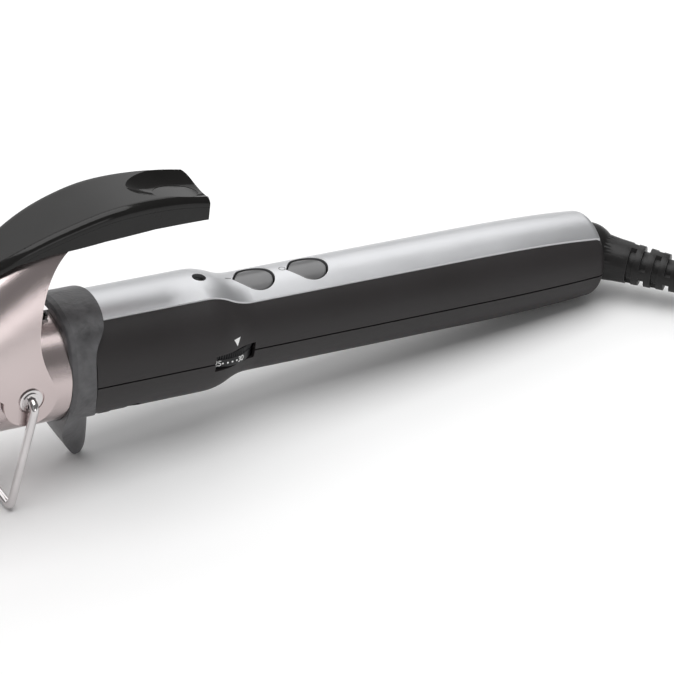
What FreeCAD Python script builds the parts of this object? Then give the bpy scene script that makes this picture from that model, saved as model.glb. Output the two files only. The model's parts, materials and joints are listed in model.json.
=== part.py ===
import FreeCAD, Part
import math
import os

# Curling iron with a spring clamp, a wire stand and a swivel cord.
# Everything but the cord is drawn in the iron's own frame: X runs along the barrel towards the cord,
# Z goes from the barrel up to the thumb lever, and x = 0 is where the barrel leaves the collar.
# At the end the iron is tipped onto its stand, so that it rests on z = 0. Millimetres and degrees.

V = FreeCAD.Vector
ALONG = V(1, 0, 0)
ACROSS = V(0, 1, 0)
UP = V(0, 0, 1)

# Barrel
BARREL_R = 16.0
BARREL_WALL = 1.1
BARREL_FRONT = -150.0
BARREL_REAR = 2.6
TIP_LENGTH = 25.0
TIP_R = 15.4

# Clamp
SHEET = 0.9
CLAMP_GAP = 0.5
CLAMP_FRONT = -147.0
LEVER_START = -72.0
LEVER_TOP = 44.6
LEVER_REAR = 36.0
PIVOT_X = -12.5
PIVOT_Z = 1.0
EAR_R = 7.9
DIMPLE_R = 3.9
DIMPLE_DEPTH = 0.35

# Thumb rest on the lever
REST_HALF_WIDTH = 9.8
REST_REAR = 43.4
REST_EDGE = 2.3
REST_DEPTH = 9.6
REST_FRONT = -31.0
REST_SEAM_DROP = 2.9
REST_SCREW_XS = (10.0, 30.0)
SCREW_END = 46.6

# Pivot rivets and stand
RIVET_R = 2.0
RIVET_BORE_R = 1.28
WIRE_R = 1.2
FIT = 0.06
STAND_LEG_Y = 20.3
STAND_BEND_R = 2.0
STAND_FOOT_Y = 15.5
STAND_FOOT_X = -15.4
STAND_FOOT_Z = -34.1

# Collar
COLLAR_R = 16.9
COLLAR_CROWN = 2.3
SPIGOT_R = 15.6
SPIGOT_WALL = 1.6

# Handle
HANDLE_LIFT = 0.7
HANDLE_FRONT_R = 17.1
HANDLE_GRIP_R = 13.85
HANDLE_END_R = 12.5
HANDLE_END_X = 176.0
END_ROUND = 3.0
CASE_WALL = 1.8
SPLIT_GAP = 0.5
STRIP_HALF_WIDTH = 8.2
STRIP_PROUD = 0.4
STRIP_SUNK = 0.9
STRIP_REAR = 174.6

# Controls
LED_X = 45.5
LED_R = 1.9
BUTTON_XS = (63.3, 80.4)
BUTTON_R = 5.3
BUTTON_POINT = 6.6
BUTTON_GAP = 0.5
BUTTON_EDGE = 0.4
BUTTON_SUNK = 0.35
BUTTON_TRAVEL = 0.8
DIAL_X = 48.2
DIAL_Y = -3.0
DIAL_R = 13.0
DIAL_HALF = 2.2
WINDOW_X = (43.8, 57.7)
WINDOW_HALF = 2.55

# Swivel and boot
BALL_X = 176.5
BALL_R = 9.0
BALL_CLEARANCE = 0.35
SOCKET_R = 11.3
CORE_R = 5.0
BOOT_SIDE_DEG = 47.0
BOOT_LENGTH = 44.0
BOOT_R = 6.4
BOOT_END_R = 4.4
SLOT_PITCH = 3.8
SLOT_WIDTH = 1.8
SLOT_COUNT = 7

# Cord
CORD_D = 6.2


def box(x0, x1, y0, y1, z0, z1):
    return Part.makeBox(x1 - x0, y1 - y0, z1 - z0, V(x0, y0, z0))


def rod_x(radius, x0, x1, y=0.0, z=0.0):
    return Part.makeCylinder(radius, x1 - x0, V(x0, y, z), ALONG)


def rod_y(radius, y0, y1, x=0.0, z=0.0):
    return Part.makeCylinder(radius, y1 - y0, V(x, y0, z), ACROSS)


def rod_z(radius, z0, z1, x=0.0, y=0.0):
    return Part.makeCylinder(radius, z1 - z0, V(x, y, z0), UP)


def ring_x(outer, inner, x0, x1, z=0.0):
    return rod_x(outer, x0, x1, 0, z).cut(rod_x(inner, x0 - 1, x1 + 1, 0, z))


def mirrored(shape):
    return shape.mirror(V(0, 0, 0), ACROSS)


def joined(shapes):
    whole = shapes[0].fuse(shapes[1:])
    return whole.removeSplitter()


def spline_edge(points):
    curve = Part.BSplineCurve()
    curve.interpolate([V(p) for p in points])
    return curve.toShape()


def line_edge(a, b):
    return Part.LineSegment(V(a), V(b)).toShape()


def arc_edge(a, b, c):
    return Part.Arc(V(a), V(b), V(c)).toShape()


def face_of(edges):
    return Part.Face(Part.Wire(Part.__sortEdges__(edges)))


def side_plate(edges, half_width):
    """A plate cut to an outline in the side view."""
    face = face_of(edges)
    face.translate(V(0, -half_width, 0))
    return face.extrude(V(0, 2 * half_width, 0))


def turned(points, z=0.0):
    """A lathe-turned solid. Each point is (x, radius)."""
    outline = [V(x, 0, z + r) for x, r in points]
    first = V(points[0][0], 0, z)
    last = V(points[-1][0], 0, z)
    face = Part.Face(Part.makePolygon([first] + outline + [last, first]))
    return face.revolve(V(0, 0, z), ALONG, 360)


def bend_path(points, largest=None):
    """Straight runs joined by tangent arcs, each as large as its two runs allow."""
    edges = []
    radii = []
    start = points[0]
    for before, corner, after in zip(points, points[1:], points[2:]):
        run_in = corner - before
        run_out = after - corner
        half_turn = run_in.getAngle(run_out) / 2
        reach = 0.45 * min(run_in.Length, run_out.Length)
        if largest:
            reach = min(reach, largest * math.tan(half_turn))
        radius = reach / math.tan(half_turn)
        way_in = V(run_in).normalize()
        way_out = V(run_out).normalize()
        inward = (way_out - way_in).normalize()
        centre = corner + inward * (radius / math.cos(half_turn))
        first = corner - way_in * reach
        last = corner + way_out * reach
        edges.append(line_edge(start, first))
        edges.append(arc_edge(first, centre - inward * radius, last))
        radii.append(radius)
        start = last
    edges.append(line_edge(start, points[-1]))
    return Part.Wire(edges), radii


def tube_along(points, radius, largest=None):
    path, radii = bend_path(points, largest)
    circle = Part.Wire(Part.makeCircle(radius, points[0], points[1] - points[0]))
    return path.makePipeShell([circle], True, False), path.Length, radii


def strip_along(points, thickness, half_width):
    """A leaf of even thickness whose middle line is a smooth curve in the side view."""
    curve = Part.BSplineCurve()
    curve.interpolate([V(p) for p in points])
    steps = 24
    upper = []
    lower = []
    for i in range(steps + 1):
        u = curve.FirstParameter + (curve.LastParameter - curve.FirstParameter) * i / steps
        at = curve.value(u)
        way = curve.tangent(u)[0]
        side = V(-way.z, 0, way.x) * (thickness / 2)
        upper.append(at + side)
        lower.append(at - side)
    edges = [
        spline_edge(upper),
        spline_edge(lower),
        line_edge(upper[0], lower[0]),
        line_edge(upper[-1], lower[-1]),
    ]
    return side_plate(edges, half_width)


# ---------------------------------------------------------------- barrel and heater


def barrel_tube():
    tube = ring_x(BARREL_R, BARREL_R - BARREL_WALL, BARREL_FRONT, BARREL_REAR)
    hole = rod_y(RIVET_R + FIT, -20, 20, PIVOT_X, PIVOT_Z)
    return tube.cut(hole)


def cool_tip():
    nose = TIP_LENGTH
    outline = [
        (BARREL_FRONT - nose, 0.01),
        (BARREL_FRONT - nose + 0.3, 4.5),
        (BARREL_FRONT - nose + 1.2, 8.0),
        (BARREL_FRONT - nose + 2.8, 10.8),
        (BARREL_FRONT - nose + 5.2, 13.0),
        (BARREL_FRONT - nose + 8.4, 14.5),
        (BARREL_FRONT - nose + 12.0, 15.2),
        (BARREL_FRONT - nose + 16.0, TIP_R),
        (BARREL_FRONT - 3.2, TIP_R),
        (BARREL_FRONT - 2.6, TIP_R + 0.5),
        (BARREL_FRONT - 0.1, TIP_R + 0.5),
        (BARREL_FRONT - 0.1, 14.7),
        (BARREL_FRONT + 8.0, 14.7),
    ]
    cap = turned(outline)
    hollow = rod_x(12.6, BARREL_FRONT - 12, BARREL_FRONT + 9)
    screw_way = rod_x(1.7, BARREL_FRONT - 16, BARREL_FRONT)
    return cap.cut(hollow).cut(screw_way)


def tip_bulkhead():
    """Heat-proof disc that the tip cap screws onto."""
    disc = rod_x(12.5, BARREL_FRONT + 2, BARREL_FRONT + 6)
    return disc.cut(rod_x(1.2, BARREL_FRONT, BARREL_FRONT + 8))


def tip_screw():
    head = rod_x(3.0, BARREL_FRONT - 11.9, BARREL_FRONT - 9.9)
    shank = rod_x(1.15, BARREL_FRONT - 9.9, BARREL_FRONT + 7)
    return joined([head, shank])


HEATER_X = (-128.0, -42.0)
PLATE_HALF = 1.6


def heater_block(sign):
    block = rod_x(BARREL_R - BARREL_WALL - 0.1, HEATER_X[0], HEATER_X[1])
    low, high = (PLATE_HALF + 0.05, 20) if sign > 0 else (-20, -PLATE_HALF - 0.05)
    half = block.common(box(HEATER_X[0], HEATER_X[1], -20, 20, low, high))
    for y in (-7.5, 7.5):
        half = half.cut(rod_x(2.6, HEATER_X[0] - 1, HEATER_X[1] + 1, y, sign * 7.2))
    return half


def ceramic_heater():
    return box(HEATER_X[0] + 4, HEATER_X[1] - 4, -10, 10, -PLATE_HALF, PLATE_HALF)


def thermistor():
    return rod_x(1.1, HEATER_X[1] + 0.05, HEATER_X[1] + 7.5, 0, 4.5)


def thermal_fuse():
    return rod_x(1.7, HEATER_X[1] + 8, HEATER_X[1] + 19, 0, -4.5)


def barrel_mount():
    """Heat-proof plug that carries the barrel in the front of the handle."""
    plug = rod_x(BARREL_R - BARREL_WALL - 0.1, PIVOT_X - 8, BARREL_REAR)
    stem = rod_x(SPIGOT_R - SPIGOT_WALL - 0.1, BARREL_REAR, 17)
    body = joined([plug, stem]).cut(rod_x(8.0, -30, 20))
    body = body.cut(rod_y(RIVET_R + FIT, -20, 20, PIVOT_X, PIVOT_Z))
    return body


# ---------------------------------------------------------------- clamp


def lever_height(x):
    """Height of the sheet's crown over the barrel's axis."""
    low = BARREL_R + CLAMP_GAP + SHEET
    rise = LEVER_TOP - low
    share = min(1.0, max(0.0, (x - LEVER_START) / (8.0 - LEVER_START)))
    return low + rise * (3 * share**2 - 2 * share**3) ** 1.35


def arch_points(x, half_width, height, low):
    """The arch as a closed outline, for one loft section."""
    count = 12
    crown = []
    for i in range(count + 1):
        angle = math.pi * i / count
        crown.append(V(x, -half_width * math.cos(angle), height * math.sin(angle)))
    edges = [
        line_edge(V(x, -half_width, low), crown[0]),
        spline_edge(crown),
        line_edge(crown[-1], V(x, half_width, low)),
        line_edge(V(x, half_width, low), V(x, -half_width, low)),
    ]
    return Part.Wire(edges)


def arch_solid(inset):
    """The space under the clamp sheet's skin, inset by the sheet's thickness or not at all."""
    half_width = BARREL_R + CLAMP_GAP + SHEET - inset
    low = -12.0
    front = CLAMP_FRONT - 2
    straight = arch_points(front, half_width, half_width, low)
    spoon = Part.Face(straight).extrude(V(LEVER_START - front, 0, 0))
    stations = [LEVER_START + step * 13.0 for step in range(11)]
    wires = [arch_points(x, half_width, lever_height(x) - inset, low) for x in stations]
    lever = Part.makeLoft(wires, True, False)
    return spoon, lever


def sheet_outline():
    """Side view of the sheet: spoon edge, ear round the pivot, rear edge, lever."""
    top = 60.0
    front = CLAMP_FRONT
    ear_low = PIVOT_Z - EAR_R
    ear_front = V(PIVOT_X - EAR_R, 0, PIVOT_Z + 0.5)
    ear_rear = V(PIVOT_X + EAR_R - 0.6, 0, PIVOT_Z + 2.6)
    spoon_low = 7.0
    rear_edge = [
        ear_rear,
        V(-8.4, 0, 10),
        V(-9.9, 0, 16),
        V(-9.6, 0, 22),
        V(-7.8, 0, 29),
        V(-4.0, 0, 35.5),
        V(2.0, 0, 40.2),
        V(10.0, 0, 42.2),
        V(20.0, 0, 42.8),
        V(LEVER_REAR, 0, 42.8),
    ]
    front_edge = [
        V(front + 9, 0, spoon_low),
        V(front + 2.5, 0, 10.0),
        V(front, 0, 17.5),
    ]
    flank = [
        ear_front,
        V(PIVOT_X - EAR_R - 6, 0, 5.4),
        V(PIVOT_X - EAR_R - 16, 0, spoon_low),
    ]
    edges = [
        arc_edge(ear_front, V(PIVOT_X, 0, ear_low), ear_rear),
        spline_edge(rear_edge),
        line_edge(rear_edge[-1], V(LEVER_REAR, 0, top)),
        line_edge(V(LEVER_REAR, 0, top), V(front, 0, top)),
        line_edge(V(front, 0, top), front_edge[-1]),
        arc_edge(*front_edge),
        line_edge(front_edge[0], flank[-1]),
        arc_edge(*flank),
    ]
    return side_plate(edges, 30)


def clamp_plate():
    outline = sheet_outline()
    pieces = []
    for outer, inner in zip(arch_solid(0), arch_solid(SHEET)):
        pieces.append(outer.cut(inner).common(outline))
    sheet = joined(pieces)
    hole = rod_y(RIVET_R + FIT, -20, 20, PIVOT_X, PIVOT_Z)
    wall = BARREL_R + CLAMP_GAP + SHEET
    dimple = rod_y(DIMPLE_R, wall - DIMPLE_DEPTH, wall + 1, PIVOT_X, PIVOT_Z)
    for x in REST_SCREW_XS:
        sheet = sheet.cut(rod_z(1.15, 38, 50, x))
    return sheet.cut(hole).cut(dimple).cut(mirrored(dimple))


def rest_plan(inset):
    """Leaf-shaped plan of the thumb rest, as a tall prism."""
    half = REST_HALF_WIDTH - inset
    rear = REST_REAR - inset
    front = REST_FRONT + 1.6 * inset
    side = [
        V(front, 0, 0),
        V(front + 6, half * 0.42, 0),
        V(-14, half * 0.80, 0),
        V(0, half, 0),
        V(20, half * 1.0, 0),
        V(rear - 2.0, half * 0.93, 0),
    ]
    other = [V(p.x, -p.y, 0) for p in side]
    rear_end = [side[-1], V(rear, 0, 0), other[-1]]
    edges = [spline_edge(side), spline_edge(other), arc_edge(*rear_end)]
    face = face_of(edges)
    return face.extrude(V(0, 0, 70))


def rest_line(drop):
    """Side view of the thumb rest's top, dropped by some depth."""
    return [
        V(REST_FRONT - 3, 0, 28.8 - drop),
        V(-22, 0, 36.0 - drop),
        V(-14, 0, 41.0 - drop),
        V(-5.5, 0, 45.3 - drop),
        V(2.4, 0, 48.1 - drop),
        V(10, 0, 50.0 - drop),
        V(20, 0, 50.9 - drop),
        V(30, 0, 50.6 - drop),
        V(REST_REAR + 3, 0, 47.8 - drop),
    ]


def rest_band(top_drop, bottom_drop):
    upper = rest_line(top_drop)
    lower = rest_line(bottom_drop)
    edges = [
        spline_edge(upper),
        spline_edge(lower),
        line_edge(upper[0], lower[0]),
        line_edge(upper[-1], lower[-1]),
    ]
    return side_plate(edges, 20)


def thumb_dimple():
    """A long scoop for the thumb, open at the rear end."""
    length = 30.0
    radius = 11.5
    centre = V(REST_REAR + 2.0, 0, 57.3)
    count = 10
    rim = []
    for i in range(count + 1):
        angle = math.pi * i / count
        rim.append(V(centre.x - length * math.cos(angle), 0, centre.z + radius * math.sin(angle)))
    face = face_of([spline_edge(rim), line_edge(rim[0], rim[-1])])
    return face.revolve(centre, ALONG, 360)


def on_rest_top(edge):
    """Whether an edge lies on the thumb rest's upper surface."""
    top = rest_band(-5, 0)
    middle = edge.valueAt((edge.FirstParameter + edge.LastParameter) / 2)
    return top.distToShape(Part.Vertex(middle))[0] < 0.01


def rest_form():
    """The whole thumb rest before it is split along its seam, its upper rim rounded."""
    form = rest_band(0, REST_DEPTH).common(rest_plan(0))
    rim = [e for e in form.Edges if on_rest_top(e)]
    return form.makeFillet(REST_EDGE, rim)


def thumb_rest_cover():
    cover = rest_form().common(rest_band(-1, REST_SEAM_DROP))
    return cover.cut(arch_solid(-0.06)[1]).cut(thumb_dimple())


def screw_crown(x):
    """Underside of the lever sheet over the middle line."""
    return lever_height(x) - SHEET


def thumb_rest_base():
    base = rest_form().common(rest_band(REST_SEAM_DROP + 0.08, REST_DEPTH + 1))
    under = [
        V(-60, 0, 20),
        V(-60, 0, 30),
        V(-24, 0, 35.2),
        V(-6, 0, 40.2),
        V(10, 0, 41.9),
        V(25, 0, 42.6),
        V(60, 0, 42.0),
        V(60, 0, 20),
    ]
    base = base.cut(side_plate([line_edge(a, b) for a, b in zip(under, under[1:] + under[:1])], 20))
    base = base.cut(arch_solid(-0.06)[1])
    for x in REST_SCREW_XS:
        base = base.cut(rod_z(1.05, 38, SCREW_END + 0.2, x))
    return base


def rest_screws():
    """Two screws from under the lever sheet into the thumb rest."""
    screws = []
    for x in REST_SCREW_XS:
        head = rod_z(2.3, screw_crown(x) - 2.1, screw_crown(x) - 0.75, x)
        shank = rod_z(1.0, screw_crown(x) - 0.8, SCREW_END, x)
        screws.append(joined([head, shank]))
    return screws


# ---------------------------------------------------------------- pivots, spring and stand


def pivot_rivet():
    """Hollow rivet that the ear turns on. The stand's wire hooks into its bore."""
    wall = BARREL_R + CLAMP_GAP + SHEET - DIMPLE_DEPTH
    shank = rod_y(RIVET_R, 12.2, wall + 0.3, PIVOT_X, PIVOT_Z)
    flange = rod_y(3.3, wall + 0.06, wall + 0.55, PIVOT_X, PIVOT_Z)
    step = rod_y(2.4, wall + 0.5, wall + 0.9, PIVOT_X, PIVOT_Z)
    bore = rod_y(RIVET_BORE_R, 10, 25, PIVOT_X, PIVOT_Z)
    return joined([shank, flange, step]).cut(bore)


def stand_wire():
    end_y = 12.8
    near = [
        V(PIVOT_X, -end_y, PIVOT_Z),
        V(PIVOT_X, -STAND_LEG_Y, PIVOT_Z),
        V(STAND_FOOT_X, -STAND_FOOT_Y, STAND_FOOT_Z),
    ]
    far = [V(p.x, -p.y, p.z) for p in reversed(near)]
    wire, _, _ = tube_along(near + far, WIRE_R, STAND_BEND_R)
    return wire


SPRING_HALF = 2.6
SPRING_THICK = 0.5


def clamp_spring():
    """Leaf spring that holds the lever up, riveted to the barrel's top."""
    seat = BARREL_R + 0.95
    points = [
        V(-3.2, 0, seat),
        V(-10, 0, seat + 0.1),
        V(-18, 0, seat + 1.0),
        V(-24.5, 0, seat + 5.5),
        V(-23.5, 0, seat + 12.0),
        V(-16, 0, seat + 16.3),
        V(-5.5, 0, lever_height(-5.5) - SHEET - 0.6),
    ]
    return strip_along(points, SPRING_THICK, SPRING_HALF)


def spring_bracket():
    """Chrome saddle on the barrel with a turned-up end that keeps the leaf in place."""
    saddle = ring_x(BARREL_R + 0.6, BARREL_R + 0.02, -11, -1.9)
    saddle = saddle.common(box(-12, -1, -3.4, 3.4, 0, 20))
    tab = box(-2.6, -1.9, -3.0, 3.0, BARREL_R + 0.2, BARREL_R + 3.1)
    lip = box(-4.4, -1.9, -3.0, 3.0, BARREL_R + 2.4, BARREL_R + 3.1)
    return joined([saddle, tab, lip])


def spring_rivet():
    seat = BARREL_R + 1.1 + SPRING_THICK / 2
    return rod_z(1.5, seat, seat + 0.8, -7.0)


# ---------------------------------------------------------------- collar


def collar_section(x, shrink):
    """Rounded section: full over the top, close to the barrel at the sides and below."""
    count = 28
    points = []
    for i in range(count):
        angle = 2 * math.pi * i / count
        from_top = abs(math.degrees(math.atan2(math.sin(angle), math.cos(angle))))
        share = min(1.0, max(0.0, (from_top - 34) / 42))
        radius = COLLAR_R + COLLAR_CROWN * 0.5 * (1 + math.cos(math.pi * share)) - shrink
        points.append(V(x, radius * math.sin(angle), radius * math.cos(angle)))
    curve = Part.BSplineCurve()
    curve.interpolate(points, True)
    return Part.Wire([curve.toShape()])


COLLAR_REAR = [
    V(12.0, 0, 24),
    V(12.2, 0, 18.0),
    V(10.4, 0, 14.8),
    V(7.9, 0, 11.2),
    V(7.3, 0, 6.5),
    V(7.5, 0, 0),
    V(8.8, 0, -8.5),
    V(11.0, 0, -14),
    V(12.4, 0, -20),
]


def collar_side(gap):
    """Everything ahead of the collar's wavy rear edge."""
    rear = [V(p.x + gap, 0, p.z) for p in COLLAR_REAR]
    front = -12.0
    edges = [
        spline_edge(rear),
        line_edge(rear[0], V(front, 0, rear[0].z)),
        line_edge(V(front, 0, rear[0].z), V(front, 0, rear[-1].z)),
        line_edge(V(front, 0, rear[-1].z), rear[-1]),
    ]
    return side_plate(edges, 30)


def foot_section(z, front, half_width, rear):
    """Flat towards the tip, rounded towards the handle."""
    count = 8
    bow = []
    for i in range(count + 1):
        angle = -math.pi / 2 + math.pi * i / count
        bow.append(V(front + (rear - front) * math.cos(angle), half_width * math.sin(angle), z))
    return Part.Wire([spline_edge(bow), line_edge(bow[-1], bow[0])])


def collar():
    wires = [collar_section(0, 1.5), collar_section(0.5, 0.7), collar_section(1.7, 0), collar_section(14, 0)]
    ring = Part.makeLoft(wires, True, True).common(collar_side(0))
    foot = Part.makeLoft(
        [
            foot_section(-7.0, 0.6, 14.9, 10.6),
            foot_section(-13.0, 0.8, 12.6, 12.0),
            foot_section(-18.0, 1.8, 9.6, 13.0),
            foot_section(-24.0, 4.6, 6.0, 13.7),
            foot_section(-28.8, 7.8, 3.4, 13.8),
            foot_section(-31.6, 10.2, 1.7, 13.0),
        ],
        True,
        False,
    )
    body = joined([ring, foot])
    body = body.cut(rod_x(BARREL_R + 0.1, -5, 3.0))
    body = body.cut(rod_x(SPIGOT_R + 0.15, 2.9, 30))
    return body.cut(handle_solid(0.15).common(box(3, 60, -30, 30, -30, 30)).cut(collar_side(0)))


# ---------------------------------------------------------------- handle


def handle_solid(grow):
    """The handle's outer form, swelled or shrunk by an even amount."""
    front_x = 3.0
    bend = (44.0, 59.0)
    front_r = HANDLE_FRONT_R + grow
    grip_r = HANDLE_GRIP_R + grow
    end_r = HANDLE_END_R + grow
    middle = ((bend[0] + bend[1]) / 2, (front_r + grip_r) / 2)
    drop = front_r - middle[1]
    span = middle[0] - bend[0]
    arc_r = (span**2 + drop**2) / (2 * drop)
    half = math.asin(span / arc_r) / 2
    first_mid = (bend[0] + arc_r * math.sin(half), front_r - arc_r * (1 - math.cos(half)))
    second_mid = (bend[1] - arc_r * math.sin(half), grip_r + arc_r * (1 - math.cos(half)))
    round_x = HANDLE_END_X - END_ROUND
    corner = END_ROUND + grow
    lean = corner * math.sqrt(0.5)

    def at(x, r):
        return V(x, 0, HANDLE_LIFT + r)

    grip = [
        at(bend[1], grip_r),
        at(90, grip_r),
        at(125, grip_r - 0.05),
        at(150, grip_r - 0.25),
        at(round_x, end_r),
    ]
    end_face = at(round_x + corner, end_r - corner)
    edges = [
        line_edge(V(front_x, 0, HANDLE_LIFT), at(front_x, front_r)),
        line_edge(at(front_x, front_r), at(bend[0], front_r)),
        arc_edge(at(bend[0], front_r), at(*first_mid), at(*middle)),
        arc_edge(at(*middle), at(*second_mid), at(bend[1], grip_r)),
        spline_edge(grip),
        arc_edge(grip[-1], at(round_x + lean, end_r - corner + lean), end_face),
        line_edge(end_face, V(end_face.x, 0, HANDLE_LIFT)),
        line_edge(V(end_face.x, 0, HANDLE_LIFT), V(front_x, 0, HANDLE_LIFT)),
    ]
    return face_of(edges).revolve(V(0, 0, HANDLE_LIFT), ALONG, 360)


def strip_room(gap):
    return box(0, STRIP_REAR + gap, -STRIP_HALF_WIDTH - gap, STRIP_HALF_WIDTH + gap, 2, 30)


def button_outline(x, grow):
    """Round button drawn out to a soft point towards the barrel."""
    radius = BUTTON_R + grow
    reach = BUTTON_POINT + grow
    half = math.acos(radius / (reach + radius * 0.55))
    touch = V(x - radius * math.cos(half), radius * math.sin(half), 0)
    other = V(touch.x, -touch.y, 0)
    nose = V(x - reach, 0, 0)
    edges = [
        arc_edge(touch, V(x + radius, 0, 0), other),
        arc_edge(other, V((other.x + nose.x) / 2 - 0.35, other.y * 0.46, 0), nose),
        arc_edge(nose, V((touch.x + nose.x) / 2 - 0.35, touch.y * 0.46, 0), touch),
    ]
    return face_of(edges)


def button_prism(x, grow, low, high):
    prism = button_outline(x, grow).extrude(V(0, 0, high - low))
    prism.translate(V(0, 0, low))
    return prism


def top_openings():
    cuts = [button_prism(x, BUTTON_GAP, 8, 30) for x in BUTTON_XS]
    cuts.append(rod_z(LED_R + 0.1, 8, 30, LED_X))
    return cuts


def case_shell():
    shell = handle_solid(0).cut(handle_solid(-CASE_WALL))
    shell = shell.cut(collar_side(0.15).common(box(-12, 30, -30, 30, -30, 30)))
    spigot = ring_x(SPIGOT_R, SPIGOT_R - SPIGOT_WALL, 3.2, 15)
    seat = ring_x(16.7, SPIGOT_R - SPIGOT_WALL, 12.8, 15)
    return joined([shell, spigot, seat])


def cord_end_opening():
    return rod_x(SOCKET_R + 0.05, 160, 190, 0, HANDLE_LIFT)


def dial_room():
    return rod_z(DIAL_R + 0.4, -DIAL_HALF - 0.35, DIAL_HALF + 0.35, DIAL_X, DIAL_Y)


CASE_SCREWS = ((22.0, -10.6), (22.0, 10.6), (146.0, 0.0))


def handle_upper_case():
    shell = case_shell().common(box(0, 200, -30, 30, SPLIT_GAP / 2, 30))
    strip = handle_solid(2).cut(handle_solid(-STRIP_SUNK - 0.05))
    shell = shell.cut(strip.common(strip_room(0.08)).cut(collar_side(0.15)))
    window = box(WINDOW_X[0], WINDOW_X[1], -30, -6, -WINDOW_HALF, WINDOW_HALF)
    shell = shell.cut(window).cut(dial_room()).cut(cord_end_opening())
    for opening in top_openings():
        shell = shell.cut(opening)
    bosses = []
    for x, y in CASE_SCREWS:
        bosses.append(rod_z(2.6, SPLIT_GAP / 2, 30, x, y).common(handle_solid(-CASE_WALL + 0.4)))
    shell = joined([shell] + bosses)
    for x, y in CASE_SCREWS:
        shell = shell.cut(rod_z(1.1, -1, 9, x, y))
    return shell


def handle_lower_case():
    shell = case_shell().common(box(0, 200, -30, 30, -30, -SPLIT_GAP / 2))
    lip = handle_solid(-CASE_WALL + 0.3).cut(handle_solid(-CASE_WALL - 0.8))
    lip = lip.common(box(16, 160, -30, 30, -2, SPLIT_GAP / 2 - 0.05)).cut(dial_room())
    window = box(WINDOW_X[0], WINDOW_X[1], -30, -6, -WINDOW_HALF, WINDOW_HALF)
    posts = []
    for x, y in CASE_SCREWS:
        posts.append(rod_z(3.4, -30, -SPLIT_GAP / 2, x, y).common(handle_solid(-CASE_WALL + 0.4)))
    for x in BOARD_SCREW_XS:
        for y in (-6, 6):
            posts.append(rod_z(1.9, -30, BOARD_Z - 0.02, x, y).common(handle_solid(-CASE_WALL + 0.4)))
    shell = joined([shell, lip] + posts)
    for x, y in CASE_SCREWS:
        shell = shell.cut(rod_z(1.35, -30, 1, x, y)).cut(rod_z(2.5, -30, -6.2, x, y))
    for x in BOARD_SCREW_XS:
        for y in (-6, 6):
            shell = shell.cut(rod_z(0.9, BOARD_Z - 4.5, BOARD_Z, x, y))
    return shell.cut(window).cut(dial_room()).cut(cord_end_opening())


def handle_top_strip():
    """Satin metal strip let into the top of the upper case."""
    band = handle_solid(STRIP_PROUD).cut(handle_solid(-STRIP_SUNK))
    band = band.common(strip_room(0)).cut(collar_side(0.3)).cut(rod_x(SOCKET_R + 0.15, 160, 190, 0, HANDLE_LIFT))
    for opening in top_openings():
        band = band.cut(opening)
    return band


def case_screws():
    screws = []
    for x, y in CASE_SCREWS:
        head = rod_z(2.3, -8.2, -6.25, x, y)
        shank = rod_z(1.05, -6.3, 6, x, y)
        cross = box(x - 1.4, x + 1.4, y - 0.3, y + 0.3, -9, -7.5)
        screws.append(joined([head, shank]).cut(cross).cut(cross.copy().rotated(V(x, y, 0), UP, 90)))
    return screws


# ---------------------------------------------------------------- controls and electronics

BOARD_Z = -5.0
BOARD_THICK = 1.6
BOARD_X = (66.0, 142.0)
BOARD_SCREW_XS = (71.0, 136.0)
SWITCH_BOARD_Z = 4.2
SWITCH_HEIGHT = 2.2


def push_button(x):
    """Button cap with a retaining flange and a stem down to its switch."""
    cap = button_prism(x, 0, 9.6, 30).common(handle_solid(STRIP_PROUD - BUTTON_SUNK))
    rim = [e for e in cap.Edges if e.BoundBox.ZMin > 12]
    cap = cap.makeFillet(BUTTON_EDGE, rim)
    flange = button_prism(x, 1.3, 9.0, 30).common(handle_solid(-CASE_WALL - 0.15))
    flange = flange.common(box(x - 20, x + 20, -20, 20, 9.0, 10.2))
    switch_top = SWITCH_BOARD_Z + BOARD_THICK + SWITCH_HEIGHT
    stem = rod_z(1.7, switch_top + BUTTON_TRAVEL + 0.05, 9.6, x)
    return joined([cap, flange, stem])


def led_lens():
    return rod_z(LED_R, 13, 30, LED_X).common(handle_solid(STRIP_PROUD - 1.2))


def led():
    return joined([rod_z(1.4, SWITCH_BOARD_Z + BOARD_THICK, 11.5, LED_X), Part.makeSphere(1.4, V(LED_X, 0, 11.5))])


def tact_switches():
    switches = []
    base = SWITCH_BOARD_Z + BOARD_THICK
    for x in BUTTON_XS:
        switches.append(box(x - 3, x + 3, -3, 3, base, base + SWITCH_HEIGHT))
    return switches


def temperature_dial():
    """Thumbwheel: a smooth printed band below and a narrower finger-grip band above."""
    band = rod_z(DIAL_R, -DIAL_HALF, 0.5, DIAL_X, DIAL_Y)
    grip = rod_z(DIAL_R - 0.35, 0.4, DIAL_HALF, DIAL_X, DIAL_Y)
    hollow = rod_z(DIAL_R - 2.2, -DIAL_HALF - 1, 0.8, DIAL_X, DIAL_Y)
    hub = rod_z(4.6, -DIAL_HALF, 1.0, DIAL_X, DIAL_Y)
    wheel = joined([joined([band, grip]).cut(hollow), hub])
    return wheel.cut(rod_z(2.95, -5, 1.2, DIAL_X, DIAL_Y))


def dial_spindle():
    spindle = rod_z(2.9, -7.5, 1.1, DIAL_X, DIAL_Y)
    return spindle.cut(box(DIAL_X + 1.9, DIAL_X + 5, DIAL_Y - 5, DIAL_Y + 5, -2.4, 2))


def potentiometer():
    can = rod_z(6.2, -8.4, -3.2, DIAL_X, DIAL_Y)
    return can.cut(rod_z(2.96, -7.7, 0, DIAL_X, DIAL_Y))


def circuit_board():
    board = box(BOARD_X[0], BOARD_X[1], -8.4, 8.4, BOARD_Z, BOARD_Z + BOARD_THICK)
    for x in BOARD_SCREW_XS:
        for y in (-6, 6):
            board = board.cut(rod_z(1.15, -10, 5, x, y))
    return board


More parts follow.
